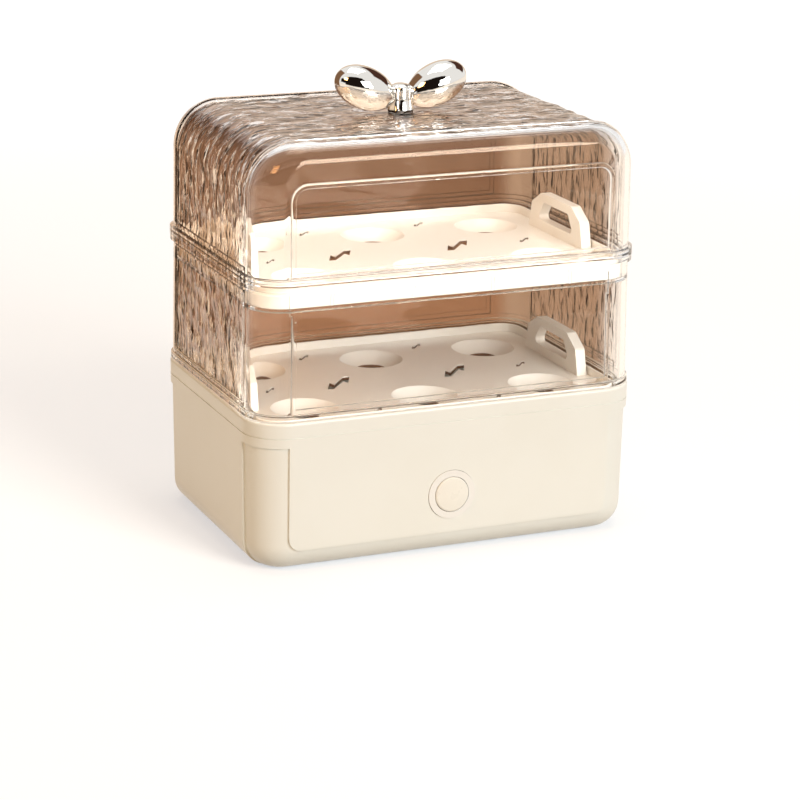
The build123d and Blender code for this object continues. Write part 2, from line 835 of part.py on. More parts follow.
way_end = block_front + wire_bury
way_out = block_front - wire_run
lay_level = cover_top + wire_lay
pin_bottom = leg_bottom - element_pin_length
tab_bottom = thermostat_bottom - tab_length
board_rear = board_front - board_thickness
board_wire_level = button_height - board_wire_drop
link_level = tab_bottom - wire_climb
left_pin, right_pin = element_ends
wire(
    "board_wire",
    [
        (-block_pitch, way_end, block_hole_level),
        (-block_pitch, way_out, block_hole_level),
        (-board_wire_x, 2 * wire_climb - board_rear, lay_level),
        (-board_wire_x, wire_climb - board_rear, board_wire_level),
        (-board_wire_x, -board_rear, board_wire_level),
    ],
)
wire(
    "element_wire",
    [
        (0, way_end, block_hole_level),
        (0, way_out, block_hole_level),
        (*right_pin, lay_level),
        (*right_pin, pin_bottom),
    ],
)
wire(
    "fuse_wire",
    [
        (block_pitch, way_end, block_hole_level),
        (block_pitch, way_out, block_hole_level),
        (fuse_end + wire_climb, tab_y, lay_level),
        (fuse_end + wire_climb, tab_y, fuse_level),
        (fuse_end, tab_y, fuse_level),
    ],
)
wire(
    "link_wire",
    [
        (0, -tab_y, tab_bottom),
        (0, -tab_y, link_level),
        (*left_pin, link_level),
        (*left_pin, pin_bottom),
    ],
)


def wave_slot(scale):
    """Steam slot as a sketch round the origin: a slanting stroke with both of its ends turned back."""
    with BuildSketch(mode=Mode.PRIVATE) as slot:
        with BuildLine():
            Polyline(
                (-wave_tip_x * scale, -wave_tip_y * scale),
                (-wave_heel_x * scale, wave_heel_y * scale),
                (-wave_neck_x * scale, -wave_neck_y * scale),
                (wave_bend_x * scale, wave_bend_y * scale),
                (wave_tip_x * scale, wave_tip_y * scale),
                (wave_heel_x * scale, -wave_heel_y * scale),
                (wave_neck_x * scale, wave_neck_y * scale),
                (-wave_bend_x * scale, -wave_bend_y * scale),
                close=True,
            )
        make_face()
    return slot.sketch


# Egg tray: plate with a skirt, six open cups, steam slots and an upright handle at each end
with BuildPart() as cup_body:
    with Locations((0, 0, sqrt(egg_radius**2 - cup_radius**2))):
        Sphere(egg_radius + cup_wall)
    split(bisect_by=Plane.XY, keep=Keep.BOTTOM)
    split(bisect_by=Plane.XY.offset(-cup_base_depth), keep=Keep.TOP)

with BuildPart() as cup_void:
    with Locations((0, 0, sqrt(egg_radius**2 - cup_radius**2))):
        Sphere(egg_radius)
    split(bisect_by=Plane.XY, keep=Keep.BOTTOM)
    with BuildSketch():
        Circle(cup_hole_radius)
    extrude(amount=-2 * cup_base_depth)

with BuildPart() as tray_handle:
    with BuildSketch(Plane.YZ.offset(handle_x - handle_thickness / 2)) as handle_outline:
        with BuildLine():
            Polyline(
                (-handle_foot_half, 0),
                (handle_foot_half, 0),
                (handle_shoulder_half, handle_shoulder),
                (handle_top_half, handle_height),
                (-handle_top_half, handle_height),
                (-handle_shoulder_half, handle_shoulder),
                close=True,
            )
        make_face()
        with BuildLine():
            Polyline(
                (-window_bottom_half, window_bottom),
                (window_bottom_half, window_bottom),
                (window_top_half, window_top),
                (-window_top_half, window_top),
                close=True,
            )
        make_face(mode=Mode.SUBTRACT)
        fillet(handle_outline.vertices().filter_by(lambda v: v.Y > handle_edge), radius=handle_edge)
    extrude(amount=handle_thickness)

tray_grow = opening_grow - tray_gap
for tray_name, seat_level in (("lower_tray", base_top), ("upper_tray", joint_height)):
    plate_level = seat_level - plate_drop
    with BuildPart() as tray:
        add(prism(plate_level - plate_thickness, plate_level, tray_grow))
        add(prism(seat_level - ledge_depth, plate_level - plate_thickness, tray_grow,
                  tray_grow - tray_skirt_wall))
        fillet(tray.faces().sort_by(Axis.Z)[-1].edges(), radius=tray_edge)
        with Locations(*[(x, y, plate_level) for x, y in cup_centres]):
            add(cup_body.part)
            add(cup_void.part, mode=Mode.SUBTRACT)
        with BuildSketch(Plane.XY.offset(plate_level)):
            with Locations((-wave_x, 0), (wave_x, 0)):
                add(wave_slot(1))
            with Locations((-small_wave_x, 0), (small_wave_x, 0)):
                add(wave_slot(small_wave_scale))
            with GridLocations(2 * wave_x, 2 * small_wave_y, 2, 2):
                add(wave_slot(small_wave_scale))
        extrude(amount=-2 * plate_thickness, mode=Mode.SUBTRACT)
        with Locations((0, 0, plate_level)):
            add(tray_handle.part)
            add(tray_handle.part.mirror(Plane.YZ))
    save(tray, tray_name)

# Steam ring: clear wall with a flange at each end, a ledge and centring ribs for the upper tray
lip_grow = opening_grow - lip_gap
ring_foot_grow = ring_height * wall_lean


def drafted_wall(grow):
    """Leaning wall of the ring as a solid, at the given offset from the clear outline."""
    with BuildPart() as body:
        with BuildSketch(Plane.XY.offset(base_top)):
            plan(ring_foot_grow + grow)
        extrude(amount=ring_height, taper=draft)
    return body.part


with BuildPart() as ring_panels:
    with BuildSketch(Plane.XZ):
        with Locations((0, base_top)):
            Rectangle(2 * clear_panel_half, ring_height, align=(Align.CENTER, Align.MIN))
    extrude(amount=clear_depth, both=True)
    add(drafted_wall(clear_panel_proud), mode=Mode.INTERSECT)

with BuildPart() as steam_ring:
    add(drafted_wall(0))
    add(ring_panels.part)
    add(prism(joint_height - ring_flange, joint_height, flange_proud))
    add(prism(base_top, base_top + foot_flange, flange_proud))
    add(drafted_wall(-clear_wall), mode=Mode.SUBTRACT)
    add(prism(base_top - lip_depth, base_top, lip_grow, lip_grow - lip_wall))
    add(prism(base_top, base_top + lip_overlap, -clear_wall / 2, lip_grow - lip_wall))
    ledge_level = joint_height - ledge_depth
    add(prism(ledge_level - ledge_thickness, ledge_level, -clear_wall / 2, ledge_grow))
    for side in (-1, 1):
        rib_outer = clear_depth / 2 - clear_wall / 2
        rib_inner = clear_depth / 2 - clear_wall - rib_proud
        with BuildSketch(Plane.XY.offset(ledge_level)):
            with Locations((0, side * (rib_outer + rib_inner) / 2)):
                with GridLocations(rib_pitch, 0, rib_count, 1):
                    Rectangle(rib_width, rib_outer - rib_inner)
        extrude(amount=rib_height)
save(steam_ring, "steam_ring")


def arch(inset):
    """Lid form as a solid: arched end view, with both ends rounded over."""
    half = clear_width / 2 - inset
    top = lid_top - inset
    with BuildPart() as body:
        with BuildSketch(Plane.XZ) as profile:
            with BuildLine():
                Polyline(
                    (-half, joint_height),
                    (half, joint_height),
                    (half - (top - joint_height) * wall_lean, top),
                    (-half + (top - joint_height) * wall_lean, top),
                    close=True,
                )
            make_face()
            fillet(profile.vertices().group_by(Axis.Y)[-1], radius=lid_top_radius - inset)
        extrude(amount=clear_depth / 2 - inset, both=True)
        ends = body.faces().filter_by(Axis.Y).edges()
        fillet(ends.sort_by(Axis.Z)[2:], radius=corner_radius - inset)
    return body.part


# Lid: arched clear shell with raised end panels, a flange, a locating lip and a pad for the bow
with BuildPart() as lid:
    add(arch(0))
    with BuildSketch(Plane.XZ) as lid_panel:
        with Locations((0, joint_height)):
            Rectangle(2 * clear_panel_half, lid_panel_top, align=(Align.CENTER, Align.MIN))
        fillet(lid_panel.vertices().group_by(Axis.Y)[-1], radius=lid_panel_corner)
    extrude(amount=clear_depth / 2 + clear_panel_proud, both=True)
    add(prism(joint_height, joint_height + lid_flange, flange_proud))
    groove_level = joint_height + lid_flange / 2 - groove_height / 2
    add(prism(groove_level, groove_level + groove_height, flange_proud + groove_depth,
              flange_proud - groove_depth), mode=Mode.SUBTRACT)
    add(arch(clear_wall), mode=Mode.SUBTRACT)
    add(prism(joint_height - lip_depth, joint_height, lip_grow, lip_grow - lip_wall))
    add(prism(joint_height, joint_height + lip_overlap, -clear_wall / 2, lip_grow - lip_wall))
    with BuildSketch(Plane.XY.offset(lid_top - clear_wall / 2)):
        Circle(boss_pad_radius)
    extrude(amount=clear_wall / 2 + boss_pad_height)
    with BuildSketch(Plane.XY.offset(lid_top + boss_pad_height)):
        Circle(handle_hole_radius)
    extrude(amount=-2 * clear_wall, mode=Mode.SUBTRACT)
save(lid, "lid")

# Bow handle: two round lobes that rise from a knot, hollow only for the screw
bow_foot = lid_top + boss_pad_height
dome_rise = knot_height - knot_top_rise
dome_radius = (knot_top_radius**2 + dome_rise**2) / (2 * dome_rise)
with BuildPart() as bow_handle:
    for side in (-1, 1):
        lobe_centre = (side * lobe_x, 0, bow_foot + lobe_rise)
        lobe_axis = (side * cos(radians(lobe_tilt)), 0, sin(radians(lobe_tilt)))
        with BuildSketch(Plane(origin=lobe_centre, x_dir=lobe_axis, z_dir=(0, -side, 0))):
            Ellipse(lobe_length, lobe_radius)
            Rectangle(2 * lobe_length, lobe_radius, align=(Align.CENTER, Align.MAX), mode=Mode.SUBTRACT)
        revolve(axis=Axis(lobe_centre, lobe_axis))
    with BuildSketch(Plane.XZ):
        with BuildLine():
            Line((0, bow_foot), (knot_foot_radius, bow_foot))
            ThreePointArc(
                (knot_foot_radius, bow_foot),
                (knot_waist_radius, bow_foot + knot_waist_rise),
                (knot_top_radius, bow_foot + knot_top_rise),
            )
            RadiusArc(
                (knot_top_radius, bow_foot + knot_top_rise),
                (0, bow_foot + knot_height),
                -dome_radius,
            )
            Line((0, bow_foot + knot_height), (0, bow_foot))
        make_face()
    revolve(axis=Axis.Z)
    with BuildSketch(Plane.XY.offset(bow_foot)):
        Circle(handle_screw_radius + handle_screw_gap)
    extrude(amount=handle_screw_reach + handle_screw_gap, mode=Mode.SUBTRACT)
save(bow_handle, "bow_handle")

lid_inner_top = lid_top - clear_wall
with BuildPart() as handle_washer:
    with BuildSketch(Plane.XY.offset(lid_inner_top - washer_thickness)):
        Circle(washer_radius)
        Circle(handle_hole_radius, mode=Mode.SUBTRACT)
    extrude(amount=washer_thickness)
save(handle_washer, "handle_washer")

with BuildPart() as handle_screw:
    with BuildSketch(Plane.XY.offset(lid_inner_top - washer_thickness)):
        Circle(handle_head_radius)
    extrude(amount=-handle_head_height)
    with BuildSketch(Plane.XY.offset(lid_inner_top - washer_thickness)):
        Circle(handle_screw_radius)
    extrude(amount=bow_foot + handle_screw_reach - lid_inner_top + washer_thickness)
save(handle_screw, "handle_screw")
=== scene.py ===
from math import cos, hypot, pi, radians, sin, sqrt, tan

import bmesh
import bpy
from mathutils import Matrix, Vector


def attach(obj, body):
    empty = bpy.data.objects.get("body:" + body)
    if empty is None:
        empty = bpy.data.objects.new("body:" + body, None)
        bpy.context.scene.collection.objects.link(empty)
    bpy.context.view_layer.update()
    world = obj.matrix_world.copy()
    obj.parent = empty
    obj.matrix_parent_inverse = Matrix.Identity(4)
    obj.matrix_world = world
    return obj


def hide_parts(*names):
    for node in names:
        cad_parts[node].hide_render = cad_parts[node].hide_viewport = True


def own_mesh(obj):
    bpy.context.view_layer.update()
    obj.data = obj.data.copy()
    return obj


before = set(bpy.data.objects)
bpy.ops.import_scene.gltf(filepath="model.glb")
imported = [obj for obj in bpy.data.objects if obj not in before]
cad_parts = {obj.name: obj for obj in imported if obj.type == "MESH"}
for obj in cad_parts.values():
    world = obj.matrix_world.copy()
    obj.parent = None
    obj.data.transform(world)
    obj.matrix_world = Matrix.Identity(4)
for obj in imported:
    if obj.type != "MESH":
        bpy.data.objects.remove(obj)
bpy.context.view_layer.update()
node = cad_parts

# Studio: the camera of the photograph, a long lens that looks down on the lid a little, from the left of the
# front. It comes first, so that everything after it is judged through the same frame.
camera = bpy.data.objects.new("camera", bpy.data.cameras.new("camera"))
bpy.context.scene.collection.objects.link(camera)
bpy.context.scene.camera = camera
camera.data.sensor_width = 36.0
camera.data.lens = 119.4
camera.data.shift_x = -0.0071
camera.data.shift_y = 0.0006
camera.data.clip_start = 0.01
camera.matrix_world = (
    Matrix.Translation((-0.46367, -1.08112, 0.40973))
    @ Matrix.Rotation(radians(-23.434), 4, "Z")
    @ Matrix.Rotation(radians(90 - 16.813), 4, "X")
    @ Matrix.Rotation(radians(0.942), 4, "Z")
)
bpy.context.scene.view_settings.view_transform = "Standard"


class Wire:
    """A socket of a material. Operators on it add Math nodes, and node() adds any other node."""

    def __init__(self, tree, socket=None):
        self.tree, self.socket = tree, socket

    def node(self, kind, settings=(), inputs=(), output=0):
        """Add a node: its settings first, then the values or links of its sockets."""
        made = self.tree.nodes.new(kind)
        for name, value in dict(settings).items():
            setattr(made, name, value)
        for key, value in dict(inputs).items():
            if isinstance(value, Wire):
                self.tree.links.new(value.socket, made.inputs[key])
            else:
                made.inputs[key].default_value = value
        return Wire(self.tree, made.outputs[output])

    def twin(self, output):
        """Another output of the same node."""
        return Wire(self.tree, self.socket.node.outputs[output])

    def maths(self, operation, a, b=0.0):
        return self.node("ShaderNodeMath", {"operation": operation}, {0: a, 1: b})

    def __add__(self, other):
        return self.maths("ADD", self, other)

    def __sub__(self, other):
        return self.maths("SUBTRACT", self, other)

    def __rsub__(self, other):
        return self.maths("SUBTRACT", other, self)

    def __mul__(self, other):
        return self.maths("MULTIPLY", self, other)

    __radd__, __rmul__ = __add__, __mul__

    def band(self, low, high):
        """0 below low, 1 above high and smooth between them."""
        return self.node(
            "ShaderNodeMapRange", {"interpolation_type": "SMOOTHSTEP"}, {0: self, 1: low, 2: high}
        )

    def blend(self, first, second):
        """The first colour where this is 0, the second where it is 1."""
        return self.node("ShaderNodeMix", {"data_type": "RGBA"}, {0: self, 6: first, 7: second}, 2)


def new_material(name):
    """An empty material with its output node; returns the material, its wires and the output."""
    material = bpy.data.materials.new(name)
    material.use_nodes = True
    material.node_tree.nodes.clear()
    wires = Wire(material.node_tree)
    return material, wires, material.node_tree.nodes.new("ShaderNodeOutputMaterial")


# Floor: a pale seamless sheet, so wide that the camera never sees its edge. It adds a little light of its own
# for the camera, in mirrors and through the clear plastic, so that it looks white there and still keeps the
# shadow of the object.
bpy.ops.object.select_all(action="DESELECT")
bpy.ops.mesh.primitive_circle_add(vertices=96, radius=9.0, fill_type="NGON", location=(0, 0, 0))
floor = bpy.context.object
floor.name = "floor"
paper, wires, output = new_material("studio_paper")
ray = wires.node("ShaderNodeLightPath")
mirrored = wires.maths("MAXIMUM", ray.twin("Is Glossy Ray"), ray.twin("Is Transmission Ray"))
sheet = wires.node("ShaderNodeBsdfDiffuse", {}, {"Color": (0.56, 0.525, 0.475, 1), "Roughness": 1.0})
place = wires.node("ShaderNodeTexCoord", {}, {}, "Object")
far = wires.node("ShaderNodeVectorMath", {"operation": "LENGTH"}, {0: place}, "Value").band(0.4, 2.4)
glow = wires.node("ShaderNodeEmission", {}, {
    "Color": ray.blend((1.0, 0.95, 0.90, 1), (0.83, 0.91, 1.0, 1)),
    "Strength": ray * (far * 0.74 + 0.56) + mirrored * (far * 0.2 + 0.62)})
wires.tree.links.new(wires.node("ShaderNodeAddShader", {}, {0: sheet, 1: glow}).socket, output.inputs[0])
floor.data.materials.append(paper)

# Lamps: one broad soft box in front and to the right, a weak warm one at the left, and one above, as the
# bright front, the darker left side and the pale tray of the photograph show. The world is an even, warm
# fill, and white for the camera, in mirrors and through the clear plastic.
for lamp_name, size, power, colour, place, aim in (
    ("key_box", 0.75, 18.1, (0.95, 0.98, 1.0), (0.45, -1.55, 0.66), (0, 0, 0.07)),
    ("left_fill", 0.35, 3.1, (1.0, 0.55, 0.20), (-0.95, -0.50, 0.80), (0, 0, 0.06)),
    ("top_box", 0.9, 8.3, (1.0, 0.985, 0.955), (0.1, 0.1, 1.5), (0, 0, 0.1)),
):
    lamp = bpy.data.objects.new(lamp_name, bpy.data.lights.new(lamp_name, "AREA"))
    bpy.context.scene.collection.objects.link(lamp)
    lamp.data.shape, lamp.data.size = "SQUARE", size
    lamp.data.energy, lamp.data.color = power, colour
    lamp.location = place
    lamp.rotation_euler = (Vector(aim) - Vector(place)).to_track_quat("-Z", "Y").to_euler()

world = bpy.data.worlds.new("studio")
bpy.context.scene.world = world
world.use_nodes = True
world.node_tree.nodes.clear()
wires = Wire(world.node_tree)
ray = wires.node("ShaderNodeLightPath")
mirrored = wires.maths("MAXIMUM", ray.twin("Is Glossy Ray"), ray.twin("Is Transmission Ray"))
seen = wires.maths("MAXIMUM", ray, mirrored)
sky = wires.node("ShaderNodeBackground", {}, {
    "Color": seen.blend((1.0, 0.81, 0.59, 1), (1, 1, 1, 1)),
    "Strength": seen * 0.61 + 0.39})
world_output = world.node_tree.nodes.new("ShaderNodeOutputWorld")
wires.tree.links.new(sky.socket, world_output.inputs[0])

# Studio flags: boards of an even tone that only mirrors see. The black ones behind the camera and beside it,
# the brown ones at the left, at the right and on the floor in front, and the pale one at the back give the
# chrome bow and the clear walls the tones that they mirror in the photograph.
for flag_name, tone, size, place, aim in (
    ("flag_camera", (0.014, 0.009, 0.007), (2.6, 1.9), (-0.62, -1.42, 1.04), (0, 0, 1.04)),
    ("flag_side", (0.014, 0.009, 0.007), (1.1, 0.6), (-1.35, -0.45, 0.62), (0, 0, 0.62)),
    ("flag_left", (0.25, 0.135, 0.075), (1.0, 0.64), (-0.20, 0.56, 0.32), (0.3, 0.46, 0.32)),
    ("flag_right", (0.085, 0.038, 0.026), (1.2, 0.8), (1.0, 0.42, 0.90), (0, 0, 0.2)),
    ("flag_back", (0.84, 0.68, 0.54), (1.5, 0.9), (0.65, 1.1, 0.60), (0, 0, 0.60)),
    ("flag_table", (0.30, 0.205, 0.14), (0.8, 0.7), (0.20, -0.52, 0.003), (0.20, -0.52, 1.0)),
):
    bpy.ops.object.select_all(action="DESELECT")
    bpy.ops.mesh.primitive_plane_add(size=1.0)
    flag = bpy.context.object
    flag.name = flag_name
    flag.scale = (*size, 1)
    flag.rotation_euler = (Vector(aim) - Vector(place)).to_track_quat("Z", "Y").to_euler()
    flag.location = place
    bpy.ops.object.transform_apply(location=True, rotation=True, scale=True)
    board, wires, output = new_material(flag_name)
    wires.tree.links.new(wires.node("ShaderNodeEmission", {}, {"Color": (*tone, 1)}).socket, output.inputs[0])
    flag.data.materials.append(board)
    flag.visible_camera = flag.visible_transmission = flag.visible_shadow = flag.visible_diffuse = False


# Base shell and upper housing: cream ABS, injection moulded with a soft gloss. The band at the top holds
# the water basin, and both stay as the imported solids, which have their panels, seam and roundings.
def moulded(name, colour, roughness=0.34, gloss=0.25, mottle=0.012, grain=0.00035, painted_shade=None):
    """Moulded plastic: a faint cloud in its colour, flow marks in its gloss and a fine spark-eroded grain.
    Its last argument may say where shade is painted on it, 0 to 1, and with which colour."""
    material, wires, output = new_material(name)
    place = wires.node("ShaderNodeTexCoord", {}, {}, "Object")
    cloud = wires.node("ShaderNodeTexNoise", {}, {"Vector": place, "Scale": 26.0, "Detail": 3.0})
    flow = wires.node("ShaderNodeTexNoise", {}, {"Vector": place, "Scale": 140.0, "Detail": 2.0})
    fine = wires.node("ShaderNodeTexNoise", {}, {"Vector": place, "Scale": 2600.0, "Detail": 2.0})
    darker = tuple(c * (1 - mottle * w) for c, w in zip(colour, (1.0, 1.3, 2.0))) + (1,)
    relief = wires.node("ShaderNodeBump", {}, {"Strength": 0.12, "Distance": grain, "Height": fine})
    tone = cloud.band(0.35, 0.65).blend(darker, (*colour, 1))
    # Painted shade: where its mask is 1, the colour turns to the painted shade's colour.
    if painted_shade:
        shade_share, shade_colour = painted_shade(wires, place)
        tone = shade_share.blend(tone, shade_colour)
    shader = wires.node("ShaderNodeBsdfPrincipled", {}, {
        "Base Color": tone,
        "Roughness": flow * 0.08 + (roughness - 0.04),
        "Normal": relief, "IOR": 1.5, "Coat Weight": gloss, "Coat Roughness": 0.12,
    })
    wires.tree.links.new(shader.socket, output.inputs[0])
    return material


def dress(material, *names):
    """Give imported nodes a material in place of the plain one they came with."""
    for name in names:
        for slot in node[name].material_slots:
            slot.material = material


cream = moulded("cream_abs", (0.905, 0.905, 0.85))
dress(cream, "base_shell", "upper_housing")


# Bottom cover, its screws and its feet: a flat vented plate of grey-beige ABS held by four zinc-plated
# screws, with four soft rubber feet pressed into round recesses.
def metal(name, colour, roughness, streak=0.05, stretch=(1, 1, 1), tint=0.85):
    """Bare or plated metal: fine drawn streaks in its gloss and patches of a duller tone."""
    material, wires, output = new_material(name)
    place = wires.node("ShaderNodeTexCoord", {}, {}, "Object")
    turned = wires.node("ShaderNodeMapping", {}, {"Vector": place, "Scale": stretch})
    drawn = wires.node("ShaderNodeTexNoise", {}, {"Vector": turned, "Scale": 900.0, "Detail": 3.0})
    patch = wires.node("ShaderNodeTexNoise", {}, {"Vector": place, "Scale": 90.0, "Detail": 4.0})
    relief = wires.node("ShaderNodeBump", {}, {"Strength": 0.1, "Distance": 0.0002, "Height": drawn})
    shader = wires.node("ShaderNodeBsdfPrincipled", {}, {
        "Base Color": patch.band(0.3, 0.7).blend(tuple(c * tint for c in colour) + (1,), (*colour, 1)),
        "Metallic": 1.0, "Roughness": drawn * streak + roughness, "Normal": relief,
    })
    wires.tree.links.new(shader.socket, output.inputs[0])
    return material


zinc = metal("zinc_plate", (0.66, 0.67, 0.68), 0.28)
dress(moulded("cover_abs", (0.80, 0.74, 0.62), roughness=0.5, gloss=0.0), "bottom_cover")
dress(zinc, "cover_screws", "board_screws", "terminal_screws", "clamp_nuts", "clamp_studs", "handle_screw",
      "handle_washer")
rubber = moulded("soft_rubber", (0.20, 0.19, 0.18), roughness=0.75, gloss=0.0, mottle=0.12, grain=0.0006)
dress(rubber, "feet")

# Heating plate, its gasket and its clamp: a stainless dish on a silicone ring, pulled down by a pressed
# steel ring on four studs; under it lie the ring element, the thermostat with its strap, and the fuse.
dress(metal("stainless_dish", (0.70, 0.69, 0.67), 0.22, streak=0.12, stretch=(1, 12, 1)), "heating_plate")
dress(moulded("silicone", (0.62, 0.24, 0.16), roughness=0.6, gloss=0.0, mottle=0.06), "plate_gasket")
dress(metal("pressed_steel", (0.52, 0.51, 0.49), 0.38, tint=0.7), "clamp_ring", "thermostat_strap")
dress(metal("oxidised_tube", (0.30, 0.27, 0.24), 0.45, tint=0.6), "heating_element")
dress(moulded("phenolic", (0.06, 0.05, 0.045), roughness=0.45, gloss=0.1, mottle=0.2), "thermostat",
      "push_switch")
dress(metal("fuse_can", (0.72, 0.70, 0.66), 0.3), "thermal_fuse")

# Control board, lamps, terminal block and inner wires: green laminate with its copper tracks under the
# mask, milky lamps, a white nylon block and silicone-sleeved wires.
board, wires, output = new_material("green_laminate")
place = wires.node("ShaderNodeTexCoord", {}, {}, "Object")
tracks = wires.node("ShaderNodeTexBrick", {"offset": 0.5}, {
    "Vector": wires.node("ShaderNodeMapping", {}, {"Vector": place, "Rotation": (radians(90), 0, 0)}),
    "Scale": 420.0, "Mortar Size": 0.03, "Color1": (0.01, 0.16, 0.07, 1), "Color2": (0.015, 0.20, 0.09, 1),
    "Mortar": (0.05, 0.33, 0.14, 1)})
weave = wires.node("ShaderNodeTexNoise", {}, {"Vector": place, "Scale": 1500.0})
laminate = wires.node("ShaderNodeBsdfPrincipled", {}, {
    "Base Color": tracks, "Roughness": weave * 0.15 + 0.25, "Coat Weight": 0.4,
    "Normal": wires.node("ShaderNodeBump", {}, {"Strength": 0.2, "Distance": 0.0001, "Height": weave})})
wires.tree.links.new(laminate.socket, output.inputs[0])
dress(board, "control_board")
dress(moulded("white_nylon", (0.82, 0.81, 0.78), roughness=0.45, gloss=0.0), "terminal_block",
      "switch_plunger")
dress(moulded("lamp_lens", (0.88, 0.83, 0.70), roughness=0.15, gloss=0.6), "indicator_lamps")
dress(moulded("wire_sleeve", (0.75, 0.70, 0.62), roughness=0.55, gloss=0.0), "board_wire", "element_wire",
      "fuse_wire", "link_wire")
dress(moulded("gland_nylon", (0.83, 0.77, 0.64), roughness=0.42, gloss=0.1), "cord_gland", "gland_nut")


# Button and light ring: a domed cream cap in a milky ring that carries the lamps' light to the front;
# behind them a steel spring returns the cap and a clip holds it in.
def edit(piece):
    """Make a piece the only selected one and open it for editing."""
    bpy.ops.object.select_all(action="DESELECT")
    piece.select_set(True)
    bpy.context.view_layer.objects.active = piece
    bpy.ops.object.mode_set(mode="EDIT")


def close():
    """Leave the open piece, still selected."""
    bpy.ops.object.mode_set(mode="OBJECT")


dress(moulded("button_abs", (0.94, 0.915, 0.84), roughness=0.28, gloss=0.4), "button_cap")
dress(moulded("milky_ring", (0.93, 0.915, 0.88), roughness=0.2, gloss=0.6), "light_ring")
spring_steel = metal("spring_steel", (0.55, 0.55, 0.56), 0.25)
dress(spring_steel, "stem_clip")
spring = bpy.data.objects.new("return_spring_coil", node["return_spring"].data.copy())
bpy.context.scene.collection.objects.link(spring)
edit(spring)
bpy.ops.mesh.select_all(action="SELECT")
bpy.ops.mesh.remove_doubles(threshold=0.000001)
close()
bpy.ops.object.shade_smooth_by_angle(angle=radians(50))
for slot in spring.material_slots:
    slot.material = spring_steel
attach(spring, "base")
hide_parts("return_spring")
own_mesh(spring)


# Egg trays: two like mouldings of cream polypropylene, each with six cups, two handles and S-shaped steam
# slots between the cups. The walls of the slots and of the cups' holes are painted dark brown, as painted
# shade.
def painted_slot_shade(wires, place):
    """1 on the walls of the steam slots and of the cups' holes, where dark brown is painted as shade in their
    depth, and that brown.
    """
    x, y, z = (wires.node("ShaderNodeSeparateXYZ", {}, {0: place}, axis) for axis in "XYZ")
    cup_x = wires.node("ShaderNodeMath", {"operation": "WRAP"}, {0: x, 1: 0.029, 2: -0.029})
    cup_y = wires.maths("ABSOLUTE", y) - 0.0315
    from_cup = wires.maths("SQRT", cup_x * cup_x + cup_y * cup_y)
    level = wires.node("ShaderNodeMath", {"operation": "WRAP"}, {0: z, 1: 0.0666, 2: 0.0066})
    below = level.band(0.0622, 0.0626) * (1 - level.band(0.0654, 0.0657))
    in_width = 1 - wires.maths("ABSOLUTE", x).band(0.0755, 0.0765)
    in_depth = 1 - wires.maths("ABSOLUTE", y).band(0.048, 0.049)
    slot = below * (in_width * in_depth) * from_cup.band(0.0212, 0.0216)
    hole = 1 - from_cup.band(0.0068, 0.0072)
    return wires.maths("MAXIMUM", slot, hole), (0.16, 0.075, 0.040, 1)


tray_plastic = moulded("cream_tray", (0.835, 0.80, 0.735), roughness=0.32, gloss=0.3, painted_shade=painted_slot_shade)
dress(tray_plastic, "lower_tray", "upper_tray")

# Steam ring: the clear wall of the lower tier, moulded in polystyrene. Its two sides are rippled like
# water inside a narrow plain border, and its front and back are plain with a raised panel.
glass, wires, output = new_material("clear_plastic")
place = wires.node("ShaderNodeTexCoord", {}, {}, "Object")
across, along, up = (wires.node("ShaderNodeSeparateXYZ", {}, {0: place}, axis) for axis in "XYZ")
# The plastic's colour is painted by place, as painted shade: its front is clear, its left wall and its top a
# little brown, and its back and right walls darker, standing in for the dark surroundings seen through them.
# The left and back walls have one colour in the ring and another in the lid.
left_wall_shade = up.band(0.118, 0.136).blend((0.70, 0.55, 0.42, 1), (0.88, 0.72, 0.58, 1))
back_wall_shade = up.band(0.118, 0.136).blend((0.30, 0.145, 0.075, 1), (0.205, 0.099, 0.053, 1))
right_wall_shade = across.band(0.078, 0.086).blend(back_wall_shade, (0.37, 0.24, 0.16, 1))
painted_wall_shade = across.band(-0.088, -0.080).blend(left_wall_shade, right_wall_shade)
# Painted shade: tint is the plastic's colour with the shade painted on its walls and top.
tint = along.band(-0.054, -0.022).blend(
    (0.975, 0.96, 0.945, 1), up.band(0.182, 0.1885).blend(painted_wall_shade, (0.98, 0.90, 0.84, 1)))
wave = wires.node("ShaderNodeTexNoise", {}, {"Vector": place, "Scale": 160.0, "Detail": 1.0})
drawn = wires.node("ShaderNodeMapping", {}, {"Vector": place, "Scale": (75.0, 260.0, 75.0)})
streak = wires.node("ShaderNodeTexNoise", {}, {
    "Vector": drawn, "Scale": 1.0, "Detail": 2.0, "Distortion": 0.6})
rippled = 1 - wires.maths("ABSOLUTE", along).band(0.0450, 0.0468)
shader = wires.node("ShaderNodeBsdfPrincipled", {}, {
    "Base Color": tint, "Roughness": 0.02, "IOR": 1.49, "Transmission Weight": 1.0,
    "Specular Tint": (0.80, 0.62, 0.47, 1),
    "Normal": wires.node("ShaderNodeBump", {}, {
        "Strength": 1.0, "Distance": 0.0006, "Height": streak * rippled + wave * 0.0175})})
shadow_ray = wires.node("ShaderNodeLightPath", {}, {}, "Is Shadow Ray")
clear = wires.node("ShaderNodeBsdfTransparent", {}, {"Color": (0.96, 0.94, 0.91, 1)})
lit = wires.node("ShaderNodeMixShader", {}, {0: shadow_ray, 1: shader, 2: clear})
wires.tree.links.new(lit.socket, output.inputs[0])

